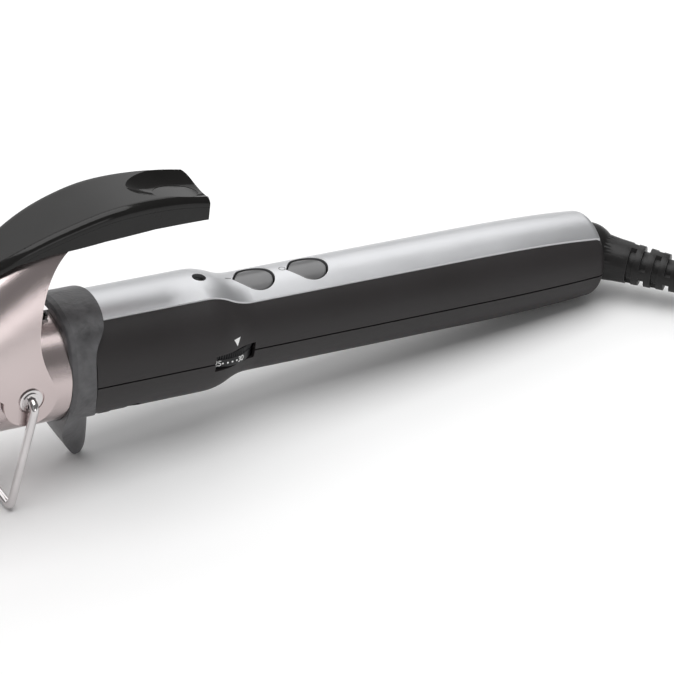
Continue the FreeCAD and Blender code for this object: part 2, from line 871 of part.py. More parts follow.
def board_screws():
    screws = []
    top = BOARD_Z + BOARD_THICK
    for x in BOARD_SCREW_XS:
        for y in (-6, 6):
            screws.append(joined([rod_z(0.85, BOARD_Z - 3.5, top, x, y), rod_z(1.8, top + 0.02, top + 1.2, x, y)]))
    return screws


def switch_board():
    base = SWITCH_BOARD_Z
    return box(40.5, 88, -6, 6, base, base + BOARD_THICK)


def board_pillars():
    """Two spacers that hold the small board over the main one."""
    low = BOARD_Z + BOARD_THICK + 0.02
    return [box(83, 86, y - 1.5, y + 1.5, low, SWITCH_BOARD_Z - 0.02) for y in (-4, 4)]


def capacitor():
    top = BOARD_Z + BOARD_THICK
    return box(94, 110, -4.5, 4.5, top + 0.02, top + 10)


def triac():
    top = BOARD_Z + BOARD_THICK
    return box(114, 117.5, -5, 5, top + 0.02, top + 10.5)


def heat_sink():
    top = BOARD_Z + BOARD_THICK
    plate = box(117.55, 119, -6.5, 6.5, top + 0.02, top + 11)
    fins = [box(119, 123, y - 0.5, y + 0.5, top + 1, top + 11) for y in (-5, 0, 5)]
    return joined([plate] + fins)


def terminal_block():
    top = BOARD_Z + BOARD_THICK
    block = box(125, 133.5, -7.5, 7.5, top + 0.02, top + 7.5)
    for y in (-5, 0, 5):
        block = block.cut(rod_z(1.4, top + 5, top + 9, 129, y))
    return block


def heater_wires():
    """Two sleeved leads from the heater plate back to the board."""
    wires = []
    for y, z_in in ((3.6, 2.4), (-3.6, -2.4)):
        points = [
            V(HEATER_X[1] + 1.5, y, z_in * 0.2),
            V(-28, y, z_in),
            V(-4, y * 0.6, z_in),
            V(19, 4.2 + y * 0.2, -4.6 + z_in * 0.5),
            V(36, 6.9, -5.6 + z_in * 0.5),
            V(52, 7.1, -5.8 + z_in * 0.5),
            V(64.5, 6.2, -4.4 + z_in * 0.4),
        ]
        wire, _, _ = tube_along(points, 0.75, 12)
        wires.append(wire)
    return wires


def supply_wires():
    """Two leads from the swivel's brushes to the terminal block."""
    wires = []
    for side in (-1, 1):
        points = [
            V(134.2, 5 * side, -0.5),
            V(139.5, 5.6 * side, 0.6),
            V(146.0, 7.0 * side, 1.0),
            V(153.4, 7.6 * side, 0.8),
        ]
        wire, _, _ = tube_along(points, 0.9, 8)
        wires.append(wire)
    return wires


# ---------------------------------------------------------------- swivel and boot


def swivel_socket():
    """Bearing ring in the handle's end. The boot's ball turns in it."""
    inside = handle_solid(-CASE_WALL - 0.05).common(box(150, 171, -30, 30, -30, 30))
    flush = handle_solid(0).common(box(171, 190, -30, 30, -30, 30))
    outer = rod_x(SOCKET_R, 165.5, 175.9, 0, HANDLE_LIFT).common(joined([inside, flush]))
    room = rod_x(BALL_R + BALL_CLEARANCE, 167.6, 180, 0, HANDLE_LIFT)
    way = rod_x(CORE_R + FIT, 160, 170, 0, HANDLE_LIFT)
    return outer.cut(room).cut(way)


def swivel_core():
    """Stub that turns with the cord and carries the contact rings."""
    stub = rod_x(CORE_R, 163.5, 167.3, 0, HANDLE_LIFT)
    neck = rod_x(3.4, 152.5, 163.6, 0, HANDLE_LIFT)
    stop = rod_x(6.2, 162.6, 165.2, 0, HANDLE_LIFT)
    return joined([stub, neck, stop])


def contact_rings():
    return [ring_x(4.6, 3.42, x, x + 2.2, HANDLE_LIFT) for x in (154.2, 159.0)]


def brushes():
    """Sprung contacts that rub on the two rings, one on each side."""
    parts = []
    for side, x in ((-1, 154.8), (1, 159.6)):
        blade = box(x, x + 1.0, 4.75, 8.6, -2.2 + HANDLE_LIFT, 2.2 + HANDLE_LIFT)
        if side < 0:
            blade = mirrored(blade)
        parts.append(blade)
    return parts


def boot_way():
    turn = math.radians(BOOT_SIDE_DEG)
    return V(math.cos(turn), -math.sin(turn), 0)


def along_boot(shape):
    """Turn a shape drawn along +X from the ball's centre into the boot's direction."""
    shape.rotate(V(0, 0, 0), UP, -BOOT_SIDE_DEG)
    shape.translate(V(BALL_X, 0, HANDLE_LIFT))
    return shape


def cord_boot():
    """Rubber ball and slotted strain relief, in one moulding."""
    ball = Part.makeSphere(BALL_R, V(0, 0, 0))
    taper = turned(
        [
            (2.0, BOOT_R + 0.9),
            (9.5, BOOT_R),
            (BOOT_LENGTH - 1.2, BOOT_END_R),
            (BOOT_LENGTH, BOOT_END_R - 0.7),
        ]
    )
    body = joined([ball, taper])
    for i in range(SLOT_COUNT):
        x = 13.5 + i * SLOT_PITCH
        radius = BOOT_R - (BOOT_R - BOOT_END_R) * (x - 9.5) / (BOOT_LENGTH - 10.7)
        groove = ring_x(radius + 2, radius - 1.5, x, x + SLOT_WIDTH)
        across = i % 2 == 0
        bridge = box(x - 1, x + 3, -1.3, 1.3, -20, 20) if across else box(x - 1, x + 3, -20, 20, -1.3, 1.3)
        body = body.cut(groove.cut(bridge))
    body = along_boot(body)
    stem = rod_x(3.4, 167.32, BALL_X, 0, HANDLE_LIFT)
    return joined([body, stem])


# ---------------------------------------------------------------- standing on the table


def stance():
    """Tilt that puts the stand's foot bar and the handle's rounded end on one plane."""
    end_x = HANDLE_END_X - END_ROUND
    end_z = HANDLE_LIFT - (HANDLE_END_R - END_ROUND)
    reach = math.hypot(end_x - STAND_FOOT_X, STAND_FOOT_Z - end_z)
    slope = math.atan2(STAND_FOOT_Z - end_z, end_x - STAND_FOOT_X)
    tilt = math.asin((WIRE_R - END_ROUND) / reach) - slope
    height = STAND_FOOT_X * math.sin(tilt) - STAND_FOOT_Z * math.cos(tilt) + WIRE_R
    return math.degrees(tilt), height


TILT, HEIGHT = stance()
MIDDLE_X = 1.01


def placed(shape):
    shape = shape.copy()
    shape.rotate(V(0, 0, 0), ACROSS, TILT)
    shape.translate(V(-MIDDLE_X, 0, HEIGHT))
    return shape


def placed_point(point):
    turn = FreeCAD.Rotation(ACROSS, TILT)
    return turn.multVec(point) + V(-MIDDLE_X, 0, HEIGHT)


# ---------------------------------------------------------------- cord, on the table

HANK = {"x0": 232.0, "x1": 389.0, "y0": -52.0, "y1": 20.6, "top": 13.2}
HANK_WAIST = 12.0
HANK_LAYER_Z = 9.3
PLUG_X = 403.0
PLUG_Y = -41.0
PLUG_HALF = 11.0
PLUG_AXIS_Z = 6.2


def cord_routes():
    """Middle lines of the lead into the hank and of the tail out to the plug."""
    way = FreeCAD.Rotation(ACROSS, TILT).multVec(boot_way())
    leave = placed_point(V(BALL_X, 0, HANDLE_LIFT) + boot_way() * BOOT_LENGTH)
    low = CORD_D / 2 + 0.1
    run_y = HANK["y0"] + CORD_D / 2
    lead = [
        leave,
        leave + way * 10.0,
        leave + V(15.4, -12.6, low + 2.4 - leave.z),
        leave + V(25.2, -15.4, low + 0.9 - leave.z),
        V(leave.x + 36.6, run_y + 0.3, low),
        V(leave.x + 50.0, run_y, low),
    ]
    tail = [
        V(PLUG_X - 53.0, run_y, HANK_LAYER_Z),
        V(PLUG_X - 41.5, run_y + 0.1, HANK_LAYER_Z),
        V(PLUG_X - 27.0, run_y + 3.9, HANK_LAYER_Z - 0.7),
        V(PLUG_X - 12.0, PLUG_Y, PLUG_AXIS_Z),
        V(PLUG_X, PLUG_Y, PLUG_AXIS_Z),
    ]
    return lead, tail


def cord_tube():
    tubes = []
    for name, route in zip(("lead", "tail"), cord_routes()):
        tube, length, radii = tube_along(route, CORD_D / 2)
        section = math.pi * (CORD_D / 2) ** 2
        print(name, "length", round(length, 1), "radii", [round(r, 1) for r in radii])
        print(name, "volume over section times length", round(tube.Volume / (section * length), 4))
        tubes.append(tube)
    return tubes


def cord_hank():
    x0, x1, y0, y1, top = (HANK[k] for k in ("x0", "x1", "y0", "y1", "top"))
    end = (y1 - y0) / 2
    middle = (y0 + y1) / 2
    centre = (x0 + x1) / 2
    side = [
        V(x0 + end, y0, 0),
        V(centre - 21, y0 + HANK_WAIST * 0.5, 0),
        V(centre, y0 + HANK_WAIST, 0),
        V(centre + 21, y0 + HANK_WAIST * 0.5, 0),
        V(x1 - end, y0, 0),
    ]
    other = [V(p.x, y0 + y1 - p.y, 0) for p in side]
    edges = [
        spline_edge(side),
        arc_edge(side[-1], V(x1, middle, 0), other[-1]),
        spline_edge(other),
        arc_edge(other[0], V(x0, middle, 0), side[0]),
    ]
    slab = face_of(edges).extrude(V(0, 0, top))
    lead, tail = cord_tube()
    return slab.cut(lead).cut(tail)


def hank_tie():
    x0, x1, y0, y1, top = (HANK[k] for k in ("x0", "x1", "y0", "y1", "top"))
    middle = (x0 + x1) / 2
    half = (y1 - y0) / 2 - HANK_WAIST
    centre = (y0 + y1) / 2
    outer = box(middle - 4, middle + 4, centre - half - 2.0, centre + half + 2.0, 0, top + 1.8)
    room = box(middle - 5, middle + 5, centre - half - 0.7, centre + half + 0.7, -1, top + 0.2)
    return outer.cut(room)


def plug_body():
    relief = Part.makeCone(4.2, 5.4, 13, V(PLUG_X, PLUG_Y, PLUG_AXIS_Z), ALONG)
    near, far = PLUG_Y - PLUG_HALF, PLUG_Y + PLUG_HALF
    body = box(PLUG_X + 12.5, PLUG_X + 33, near, far, 0, 2 * PLUG_AXIS_Z)
    uprights = [e for e in body.Edges if abs(e.tangentAt(e.FirstParameter).z) > 0.9]
    return joined([body.makeFillet(5, uprights), relief])


def plug_blades():
    blades = []
    for side in (-1, 1):
        y = PLUG_Y + side * 6.35
        low, high = PLUG_AXIS_Z - 3.2, PLUG_AXIS_Z + 3.2
        blades.append(box(PLUG_X + 33.02, PLUG_X + 49, y - 0.75, y + 0.75, low, high))
    return blades


# ---------------------------------------------------------------- all the pieces

IRON = {
    "barrel_tube": barrel_tube,
    "cool_tip": cool_tip,
    "tip_bulkhead": tip_bulkhead,
    "tip_screw": tip_screw,
    "heater_block_upper": lambda: heater_block(1),
    "heater_block_lower": lambda: heater_block(-1),
    "ceramic_heater": ceramic_heater,
    "thermistor": thermistor,
    "thermal_fuse": thermal_fuse,
    "barrel_mount": barrel_mount,
    "clamp_plate": clamp_plate,
    "thumb_rest_cover": thumb_rest_cover,
    "thumb_rest_base": thumb_rest_base,
    "thumb_rest_screws": rest_screws,
    "pivot_rivets": lambda: [pivot_rivet(), mirrored(pivot_rivet())],
    "clamp_spring": clamp_spring,
    "spring_bracket": spring_bracket,
    "spring_rivet": spring_rivet,
    "stand_wire": stand_wire,
    "collar": collar,
    "handle_upper_case": handle_upper_case,
    "handle_lower_case": handle_lower_case,
    "handle_top_strip": handle_top_strip,
    "case_screws": case_screws,
    "led_lens": led_lens,
    "led": led,
    "on_button": lambda: push_button(BUTTON_XS[0]),
    "off_button": lambda: push_button(BUTTON_XS[1]),
    "tact_switches": tact_switches,
    "switch_board": switch_board,
    "board_pillars": board_pillars,
    "temperature_dial": temperature_dial,
    "dial_spindle": dial_spindle,
    "potentiometer": potentiometer,
    "circuit_board": circuit_board,
    "board_screws": board_screws,
    "capacitor": capacitor,
    "triac": triac,
    "heat_sink": heat_sink,
    "terminal_block": terminal_block,
    "heater_wires": heater_wires,
    "supply_wires": supply_wires,
    "swivel_socket": swivel_socket,
    "swivel_core": swivel_core,
    "contact_rings": contact_rings,
    "brushes": brushes,
    "cord_boot": cord_boot,
}
ON_TABLE = {
    "cord_tube": cord_tube,
    "cord_hank": cord_hank,
    "hank_tie": hank_tie,
    "plug_body": plug_body,
    "plug_blades": plug_blades,
}


def whole(made):
    """One shape from one piece or from a group of pieces."""
    return Part.makeCompound(made) if isinstance(made, list) else made


def write(name, shape):
    solids = shape.Solids
    good = all(s.isValid() and s.isClosed() and s.Volume > 0 for s in solids)
    print(f"{name:20s} solids {len(solids)} volume {shape.Volume:10.1f} {'' if good and solids else 'CHECK'}")
    kept = solids[0] if len(solids) == 1 else Part.makeCompound(solids)
    kept.exportStep(f"parts/{name}.step")


def main():
    os.makedirs("parts", exist_ok=True)
    print("tilt", round(TILT, 4), "height", round(HEIGHT, 4))
    for name, make in IRON.items():
        write(name, placed(whole(make())))
    for name, make in ON_TABLE.items():
        write(name, whole(make()))


main()
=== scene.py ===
import json
import math

import bpy
import bmesh
from mathutils import Matrix, Vector

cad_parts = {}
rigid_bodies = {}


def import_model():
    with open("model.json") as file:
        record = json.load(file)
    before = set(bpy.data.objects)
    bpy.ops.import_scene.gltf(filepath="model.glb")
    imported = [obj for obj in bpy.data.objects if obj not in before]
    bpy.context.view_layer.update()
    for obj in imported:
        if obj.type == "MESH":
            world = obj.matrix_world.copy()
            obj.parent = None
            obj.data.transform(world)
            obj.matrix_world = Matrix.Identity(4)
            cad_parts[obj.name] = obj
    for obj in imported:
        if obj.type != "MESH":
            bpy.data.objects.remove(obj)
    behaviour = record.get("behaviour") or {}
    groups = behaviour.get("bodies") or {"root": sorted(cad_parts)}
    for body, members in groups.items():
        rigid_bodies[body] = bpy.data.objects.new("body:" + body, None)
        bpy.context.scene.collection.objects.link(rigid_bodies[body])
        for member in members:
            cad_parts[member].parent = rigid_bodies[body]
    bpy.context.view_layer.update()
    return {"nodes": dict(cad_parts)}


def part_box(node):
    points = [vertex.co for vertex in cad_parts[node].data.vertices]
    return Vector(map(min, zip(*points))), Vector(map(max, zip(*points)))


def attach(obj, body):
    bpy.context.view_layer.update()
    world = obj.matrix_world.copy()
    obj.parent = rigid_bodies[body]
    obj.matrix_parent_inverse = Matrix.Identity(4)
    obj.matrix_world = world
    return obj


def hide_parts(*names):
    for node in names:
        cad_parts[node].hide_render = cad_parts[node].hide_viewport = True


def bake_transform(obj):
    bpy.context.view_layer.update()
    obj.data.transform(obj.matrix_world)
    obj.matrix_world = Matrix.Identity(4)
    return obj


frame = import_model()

nodes = frame["nodes"]
bpy.ops.object.select_all(action="DESELECT")

# The iron's own frame: along the barrel, across it, and up from the barrel to the lever.
TILT = math.radians(7.1059)
SHIFT = Vector((-0.00101, 0.0, 0.0331331))
IRON = Matrix.Translation(SHIFT) @ Matrix.Rotation(TILT, 4, "Y")


def on_iron(x, y, z):
    """A point given in millimetres along, across and up the iron."""
    return IRON @ Vector((x / 1000, y / 1000, z / 1000))


# ------------------------------------------------------------------ camera, light and floor


def place_camera():
    azimuth, elevation = math.radians(-29.162), math.radians(35.263)
    away = Vector((
        math.sin(azimuth) * math.cos(elevation),
        -math.cos(azimuth) * math.cos(elevation),
        math.sin(elevation),
    ))
    data = bpy.data.cameras.new("camera")
    data.sensor_width = 36.0
    data.lens = 36.0 * 3516 / 674
    data.clip_start = 0.01
    data.clip_end = 50
    camera = bpy.data.objects.new("camera", data)
    turn = away.to_track_quat("Z", "Y")
    side = turn @ Vector((1, 0, 0))
    rise = turn @ Vector((0, 1, 0))
    aim = on_iron(90, 0, 0)
    centre = aim + side * 0.00147 - rise * 0.00918
    camera.rotation_euler = turn.to_euler()
    camera.location = centre + away * 1.0
    bpy.context.scene.collection.objects.link(camera)
    bpy.context.scene.camera = camera


def area_light(name, at, towards, size, power, size_y=None):
    data = bpy.data.lights.new(name, "AREA")
    data.shape = "RECTANGLE"
    data.size = size
    data.size_y = size_y or size
    data.energy = power
    lamp = bpy.data.objects.new(name, data)
    lamp.location = at
    lamp.rotation_euler = (Vector(at) - Vector(towards)).to_track_quat("Z", "Y").to_euler()
    bpy.context.scene.collection.objects.link(lamp)


def light_studio():
    area_light("overhead_softbox", (0.05, 0.0, 1.3), (0.05, 0, 0), 1.3, 17)
    area_light("far_softbox", (0.30, 1.5, 1.15), (0.05, 0, 0.02), 3.2, 20, 1.5)
    area_light("front_softbox", (0.0, -1.5, 0.35), (0.0, 0, 0.04), 1.1, 2.8, 0.5)
    area_light("front_strip", (-1.05, -0.75, 0.55), (-0.02, 0, 0.03), 0.25, 0.4, 1.1)
    world = bpy.data.worlds.new("pale_room")
    world.use_nodes = True
    back = world.node_tree.nodes["Background"]
    back.inputs["Color"].default_value = (1, 1, 1, 1)
    back.inputs["Strength"].default_value = 0.22
    bpy.context.scene.world = world
    bpy.context.scene.view_settings.view_transform = "Standard"


def lay_floor():
    bpy.ops.mesh.primitive_plane_add(size=8, location=(0, 0, -0.0002))
    floor = bpy.context.object
    floor.name = "pale_floor"
    paper = bpy.data.materials.new("floor_paper")
    paper.use_nodes = True
    shader = paper.node_tree.nodes["Principled BSDF"]
    shader.inputs["Base Color"].default_value = (0.93, 0.93, 0.93, 1)
    shader.inputs["Roughness"].default_value = 0.9
    floor.data.materials.append(paper)
    floor.select_set(False)


# ------------------------------------------------------------------ shader groups


def group_tree(name, inputs, outputs):
    tree = bpy.data.node_groups.new(name, "ShaderNodeTree")
    for label, kind, value in inputs:
        socket = tree.interface.new_socket(label, in_out="INPUT", socket_type=kind)
        if value is not None:
            socket.default_value = value
    for label, kind in outputs:
        tree.interface.new_socket(label, in_out="OUTPUT", socket_type=kind)
    return tree, tree.nodes.new("NodeGroupInput"), tree.nodes.new("NodeGroupOutput")


def node(tree, kind, **settings):
    made = tree.nodes.new(kind)
    for key, value in settings.items():
        if key in made.inputs:
            made.inputs[key].default_value = value
        else:
            setattr(made, key, value)
    return made


def math_node(tree, operation, first, second=None):
    made = tree.nodes.new("ShaderNodeMath")
    made.operation = operation
    for socket, value in zip(made.inputs, (first, second)):
        if value is None:
            continue
        if isinstance(value, (int, float)):
            socket.default_value = value
        else:
            tree.links.new(value, socket)
    return made.outputs[0]


FLOAT, COLOR, VECTOR = "NodeSocketFloat", "NodeSocketColor", "NodeSocketVector"


def grain_group():
    """Fine moulded or sprayed grain: a height, and a slow patchiness for colour and gloss."""
    tree, given, out = group_tree(
        "fine_grain",
        [("Fine", FLOAT, 2500.0), ("Broad", FLOAT, 60.0), ("Patch", FLOAT, 0.5)],
        [("Height", FLOAT), ("Patches", FLOAT)],
    )
    place = node(tree, "ShaderNodeTexCoord")
    fine = node(tree, "ShaderNodeTexNoise", Detail=3.0)
    broad = node(tree, "ShaderNodeTexNoise", Detail=4.0)
    for texture, size in ((fine, "Fine"), (broad, "Broad")):
        tree.links.new(place.outputs["Object"], texture.inputs["Vector"])
        tree.links.new(given.outputs[size], texture.inputs["Scale"])
    soft = math_node(tree, "MULTIPLY", broad.outputs["Fac"], given.outputs["Patch"])
    tree.links.new(fine.outputs["Fac"], out.inputs["Height"])
    tree.links.new(soft, out.inputs["Patches"])
    return tree


def wear_group():
    """A mask that is bright on sharp outer edges, broken up by scratches."""
    tree, given, out = group_tree(
        "edge_wear",
        [("Width", FLOAT, 0.0006), ("Breakup", FLOAT, 400.0), ("Amount", FLOAT, 0.5)],
        [("Mask", FLOAT)],
    )
    place = node(tree, "ShaderNodeTexCoord")
    bevel = node(tree, "ShaderNodeBevel", samples=4)
    tree.links.new(given.outputs["Width"], bevel.inputs["Radius"])
    shape = node(tree, "ShaderNodeNewGeometry")
    dot = node(tree, "ShaderNodeVectorMath", operation="DOT_PRODUCT")
    tree.links.new(bevel.outputs["Normal"], dot.inputs[0])
    tree.links.new(shape.outputs["Normal"], dot.inputs[1])
    bend = math_node(tree, "SUBTRACT", 1.0, dot.outputs["Value"])
    sharp = math_node(tree, "MULTIPLY", bend, 6.0)
    noise = node(tree, "ShaderNodeTexNoise", Detail=4.0)
    tree.links.new(place.outputs["Object"], noise.inputs["Vector"])
    tree.links.new(given.outputs["Breakup"], noise.inputs["Scale"])
    broken = math_node(tree, "MULTIPLY", sharp, noise.outputs["Fac"])
    strong = math_node(tree, "MULTIPLY", broken, given.outputs["Amount"])
    held = math_node(tree, "MINIMUM", strong, 1.0)
    tree.links.new(held, out.inputs["Mask"])
    return tree


GRAIN = grain_group()
WEAR = wear_group()


def finish_material(
    name, color, light=None, roughness=0.5, spread=0.1, metallic=0.0, fine=2500.0, broad=60.0,
    bump=0.02, patch=1.0, wear=0.3, wear_color=None, coat=0.0, coat_roughness=0.1, specular=0.5,
):
    """A finish with grain, patchiness and worn edges."""
    made = bpy.data.materials.new(name)
    made.use_nodes = True
    tree = made.node_tree
    shader = tree.nodes["Principled BSDF"]
    grain = tree.nodes.new("ShaderNodeGroup")
    grain.node_tree = GRAIN
    grain.inputs["Fine"].default_value = fine
    grain.inputs["Broad"].default_value = broad
    grain.inputs["Patch"].default_value = patch
    edge = tree.nodes.new("ShaderNodeGroup")
    edge.node_tree = WEAR
    edge.inputs["Amount"].default_value = wear
    mix = node(tree, "ShaderNodeMix", data_type="RGBA")
    mix.inputs["A"].default_value = (*color, 1)
    mix.inputs["B"].default_value = (*(light or [min(1, c * 1.25 + 0.01) for c in color]), 1)
    tree.links.new(grain.outputs["Patches"], mix.inputs["Factor"])
    worn = node(tree, "ShaderNodeMix", data_type="RGBA")
    worn.inputs["B"].default_value = (*(wear_color or [min(1, c * 1.8 + 0.03) for c in color]), 1)
    tree.links.new(edge.outputs["Mask"], worn.inputs["Factor"])
    tree.links.new(mix.outputs["Result"], worn.inputs["A"])
    tree.links.new(worn.outputs["Result"], shader.inputs["Base Color"])
    rough = node(tree, "ShaderNodeMapRange")
    rough.inputs["To Min"].default_value = roughness - spread / 2
    rough.inputs["To Max"].default_value = roughness + spread / 2
    tree.links.new(grain.outputs["Patches"], rough.inputs["Value"])
    tree.links.new(rough.outputs["Result"], shader.inputs["Roughness"])
    lift = node(tree, "ShaderNodeBump", Strength=bump, Distance=0.001)
    tree.links.new(grain.outputs["Height"], lift.inputs["Height"])
    tree.links.new(lift.outputs["Normal"], shader.inputs["Normal"])
    shader.inputs["Metallic"].default_value = metallic
    shader.inputs["Specular IOR Level"].default_value = specular
    shader.inputs["Coat Weight"].default_value = coat
    shader.inputs["Coat Roughness"].default_value = coat_roughness
    return made


def make_finishes():
    return {
        "rose": finish_material(
            "rose_ceramic_coat", (
                0.50, 0.425, 0.42,
            ), (0.58, 0.505, 0.50), 0.22, 0.05, 0.95, 5200, 40, 0.05, wear=0.1
        ),
        "black": finish_material(
            "gloss_black_moulding", (
                0.005, 0.0046, 0.0043,
            ), None, 0.10, 0.04, 0, 3000, 80, 0.006, wear=0.15, specular=0.25
        ),
        "soft": finish_material(
            "soft_touch_charcoal", (
                0.020, 0.018, 0.018,
            ), (0.030, 0.027, 0.028), 0.46, 0.10, 0, 4000, 45, 0.06,
            wear=0.25, specular=0.3
        ),
        "tip": finish_material(
            "cool_tip_nylon", (0.014, 0.013, 0.014), None, 0.45, 0.08, 0, 3500, 70, 0.05,
            wear=0.25,
        ),
        "collar": finish_material(
            "mottled_collar_moulding", (
                0.012, 0.0115, 0.012,
            ), (0.16, 0.158, 0.165), 0.40, 0.20, 0, 900, 210, 0.18,
            wear=0.5, specular=0.4
        ),
        "silver": finish_material(
            "satin_silver_paint", (
                0.56, 0.565, 0.58,
            ), (0.62, 0.625, 0.64), 0.40, 0.06, 0.9, 7000, 60, 0.04, wear=0.1
        ),
        "button": finish_material(
            "satin_grey_button", (
                0.10, 0.10, 0.102,
            ), None, 0.30, 0.08, 0.5, 4000, 90, 0.02, wear=0.5, coat=0.3
        ),
        "chrome": finish_material(
            "bright_chrome", (0.55, 0.53, 0.53), None, 0.07, 0.04, 1.0, 3000, 150, 0.005, wear=0.1,
        ),
        "steel": finish_material(
            "plain_spring_steel", (0.45, 0.45, 0.46), None, 0.30, 0.12, 1.0, 2500, 200, 0.05,
        ),
        "lens": finish_material(
            "smoked_lens", (0.004, 0.003, 0.003), None, 0.05, 0.03, 0, 2000, 100, 0.0, wear=0.0,
        ),
        "dial": finish_material(
            "dial_black", (0.006, 0.006, 0.007), None, 0.34, 0.08, 0, 3000, 120, 0.03, wear=0.3,
            specular=0.3,
        ),
        "rubber": finish_material(
            "boot_rubber", (
                0.006, 0.0055, 0.0055,
            ), (0.011, 0.010, 0.010), 0.40, 0.12, 0, 2200, 120, 0.08, wear=0.35, specular=0.3
        ),
        "inside": finish_material(
            "inner_moulding", (0.55, 0.52, 0.44), None, 0.5, 0.1, 0, 2500, 80, 0.05,
        ),
        "board": finish_material(
            "green_laminate", (0.03, 0.16, 0.06), None, 0.4, 0.1, 0, 1500, 200, 0.04,
        ),
        "brass": finish_material(
            "contact_brass", (0.6, 0.42, 0.16), None, 0.25, 0.1, 1.0, 2500, 150, 0.02,
        ),
        "nickel": finish_material(
            "blade_nickel", (0.62, 0.60, 0.55), None, 0.22, 0.1, 1.0, 2500, 150, 0.02, wear=0.5,
        ),
        "print": finish_material(
            "white_print", (0.75, 0.75, 0.74), None, 0.5, 0.1, 0, 5000, 200, 0.02, wear=0.0,
        ),
        "grey_print": finish_material(
            "grey_print", (0.13, 0.13, 0.13), None, 0.5, 0.1, 0, 5000, 200, 0.02, wear=0.0,
        ),
        "strap": finish_material(
            "woven_strap", (0.02, 0.02, 0.022), None, 0.8, 0.1, 0, 3000, 900, 0.4, wear=0.2,
        ),
        "sleeve": finish_material(
            "glass_sleeve", (0.6, 0.58, 0.52), None, 0.75, 0.1, 0, 3000, 900, 0.2,
        ),
    }


NODE_FINISH = {
    "rose": ["barrel_tube", "clamp_plate"],
    "tip": ["cool_tip"],
    "black": ["thumb_rest_cover", "thumb_rest_base"],
    "soft": ["handle_upper_case", "handle_lower_case"],
    "collar": ["collar"],
    "silver": ["handle_top_strip"],
    "button": ["on_button", "off_button"],
    "chrome": ["pivot_rivets", "spring_bracket", "stand_wire"],
    "steel": [
        "tip_screw", "thermal_fuse", "thumb_rest_screws", "clamp_spring", "spring_rivet",
        "case_screws", "board_screws", "heat_sink", "heater_block_upper", "heater_block_lower",
    ],
    "lens": ["led_lens"],
    "dial": ["temperature_dial"],
    "rubber": ["cord_boot", "swivel_socket"],
    "inside": [
        "tip_bulkhead", "ceramic_heater", "barrel_mount", "board_pillars", "dial_spindle",
        "swivel_core", "capacitor",
    ],
    "board": ["switch_board", "circuit_board", "terminal_block"],
    "brass": ["contact_rings", "brushes"],
    "nickel": ["plug_blades"],
    "sleeve": ["heater_wires", "supply_wires"],
    }


def paint_frame(finishes):
    """Every carried-over node gets its finish."""
    given = {name: finish for finish, names in NODE_FINISH.items() for name in names}
    for name, piece in nodes.items():
        finish = finishes[given.get(name, "tip")]
        meshes = [piece] if piece.type == "MESH" else [
            c for c in piece.children_recursive if c.type == "MESH"
        ]
        for mesh in meshes:
            if not mesh.material_slots:
                continue
            for slot in mesh.material_slots:
                slot.material = finish


# ------------------------------------------------------------------ small pieces

DIAL_AT = (48.2, -3.0)
DIAL_RADIUS = 13.0
SETTING = 28.6
STEP_DEG = 6.6
ON_MARK = (55.2, 0.6)
OFF_MARK = (72.6, 1.0)
POINTER_CORNERS = ((49.8, 5.75), (52.2, 5.75), (51.0, 3.6))
PLACE = IRON @ Matrix.Scale(0.001, 4)


def active_mesh(name):
    piece = bpy.context.object
    piece.name = name
    piece.data.name = name
    return piece


def settle(piece, finish, body):
    """Puts a piece drawn in iron millimetres into place and gives it its finish and body."""
    piece.data.transform(PLACE @ piece.matrix_basis)
    piece.matrix_basis = Matrix.Identity(4)
    piece.data.materials.clear()
    piece.data.materials.append(finish)
    piece.select_set(False)
    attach(piece, body)
    return piece


def join(pieces):
    bpy.ops.object.select_all(action="DESELECT")
    for piece in pieces:
        piece.select_set(True)
    bpy.context.view_layer.objects.active = pieces[0]
    bpy.ops.object.join()
    return bpy.context.object


def bevel(piece, width, segments=2, angle=35):
    modifier = piece.modifiers.new("soft_edges", "BEVEL")
    modifier.width = width
    modifier.segments = segments
    modifier.limit_method = "ANGLE"
    modifier.angle_limit = math.radians(angle)
    bpy.context.view_layer.objects.active = piece
    bpy.ops.object.modifier_apply(modifier=modifier.name)


def smooth(piece, angle=30):
    bpy.ops.object.select_all(action="DESELECT")
    piece.select_set(True)
    bpy.context.view_layer.objects.active = piece
    bpy.ops.object.shade_smooth_by_angle(angle=math.radians(angle))
    piece.select_set(False)


def make_dial(finish):
    """Thumbwheel: a plain band for the numbers with a ribbed band over it."""
    x, y = DIAL_AT
    ribs = 108
    bpy.ops.object.select_all(action="DESELECT")
    bpy.ops.mesh.primitive_cylinder_add(
        vertices=144, radius=DIAL_RADIUS, depth=2.6, location=(x, y, -0.9),
    )
    band = active_mesh("dial_band")
    bevel(band, 0.15)
    bpy.ops.object.select_all(action="DESELECT")
    bpy.ops.mesh.primitive_cylinder_add(
        vertices=ribs * 4, radius=DIAL_RADIUS - 0.1, depth=1.72, location=(x, y, 1.32),
    )
    grip = active_mesh("dial_grip")
    bpy.ops.object.mode_set(mode="EDIT")
    shape = bmesh.from_edit_mesh(grip.data)
    for vertex in shape.verts:
        turn = math.atan2(vertex.co.y, vertex.co.x) / (2 * math.pi) * ribs
        vertex.select = round(turn * 4) % 4 in (0, 1)
    shape.select_flush(False)
    bmesh.update_edit_mesh(grip.data)
    bpy.ops.mesh.select_mode(type="VERT")
    bpy.ops.transform.resize(value=(0.972, 0.972, 1), center_override=(x, y, 1.32))
    bpy.ops.object.mode_set(mode="OBJECT")
    wheel = join([band, grip])
    wheel.name = "temperature_thumbwheel"
    smooth(wheel)
    settle(wheel, finish, "dial")
    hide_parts("temperature_dial")


